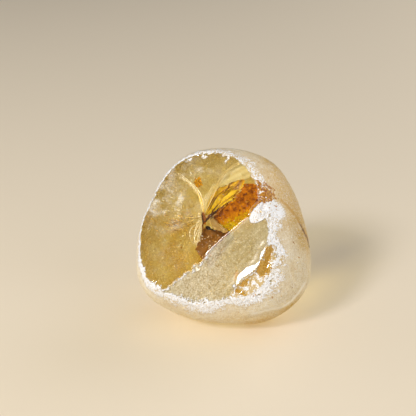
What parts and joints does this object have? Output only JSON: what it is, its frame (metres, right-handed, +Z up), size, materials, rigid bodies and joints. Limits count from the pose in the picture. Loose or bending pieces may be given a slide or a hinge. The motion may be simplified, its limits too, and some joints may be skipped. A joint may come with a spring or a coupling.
{
  "type": "smoky quartz seer stone",
  "caption": "River-tumbled golden smoky quartz pebble with a flat polished window and a worn satin break face, resting on a small flat.",
  "frame": {"origin": "middle of the bounding box at the level of the small flat that the stone rests on", "axes": "+Z up, +X to the right when the window and the break face look at you, faces towards -Y"},
  "size_m": [0.0618, 0.0506, 0.06],
  "materials": {
    "golden_smoky_quartz": "see-through golden smoky quartz: polished window, satin break face, frosted tumbled skin"
  },
  "bodies": {
    "root": {"seer_stone": "golden_smoky_quartz"}
  },
  "joints": []
}
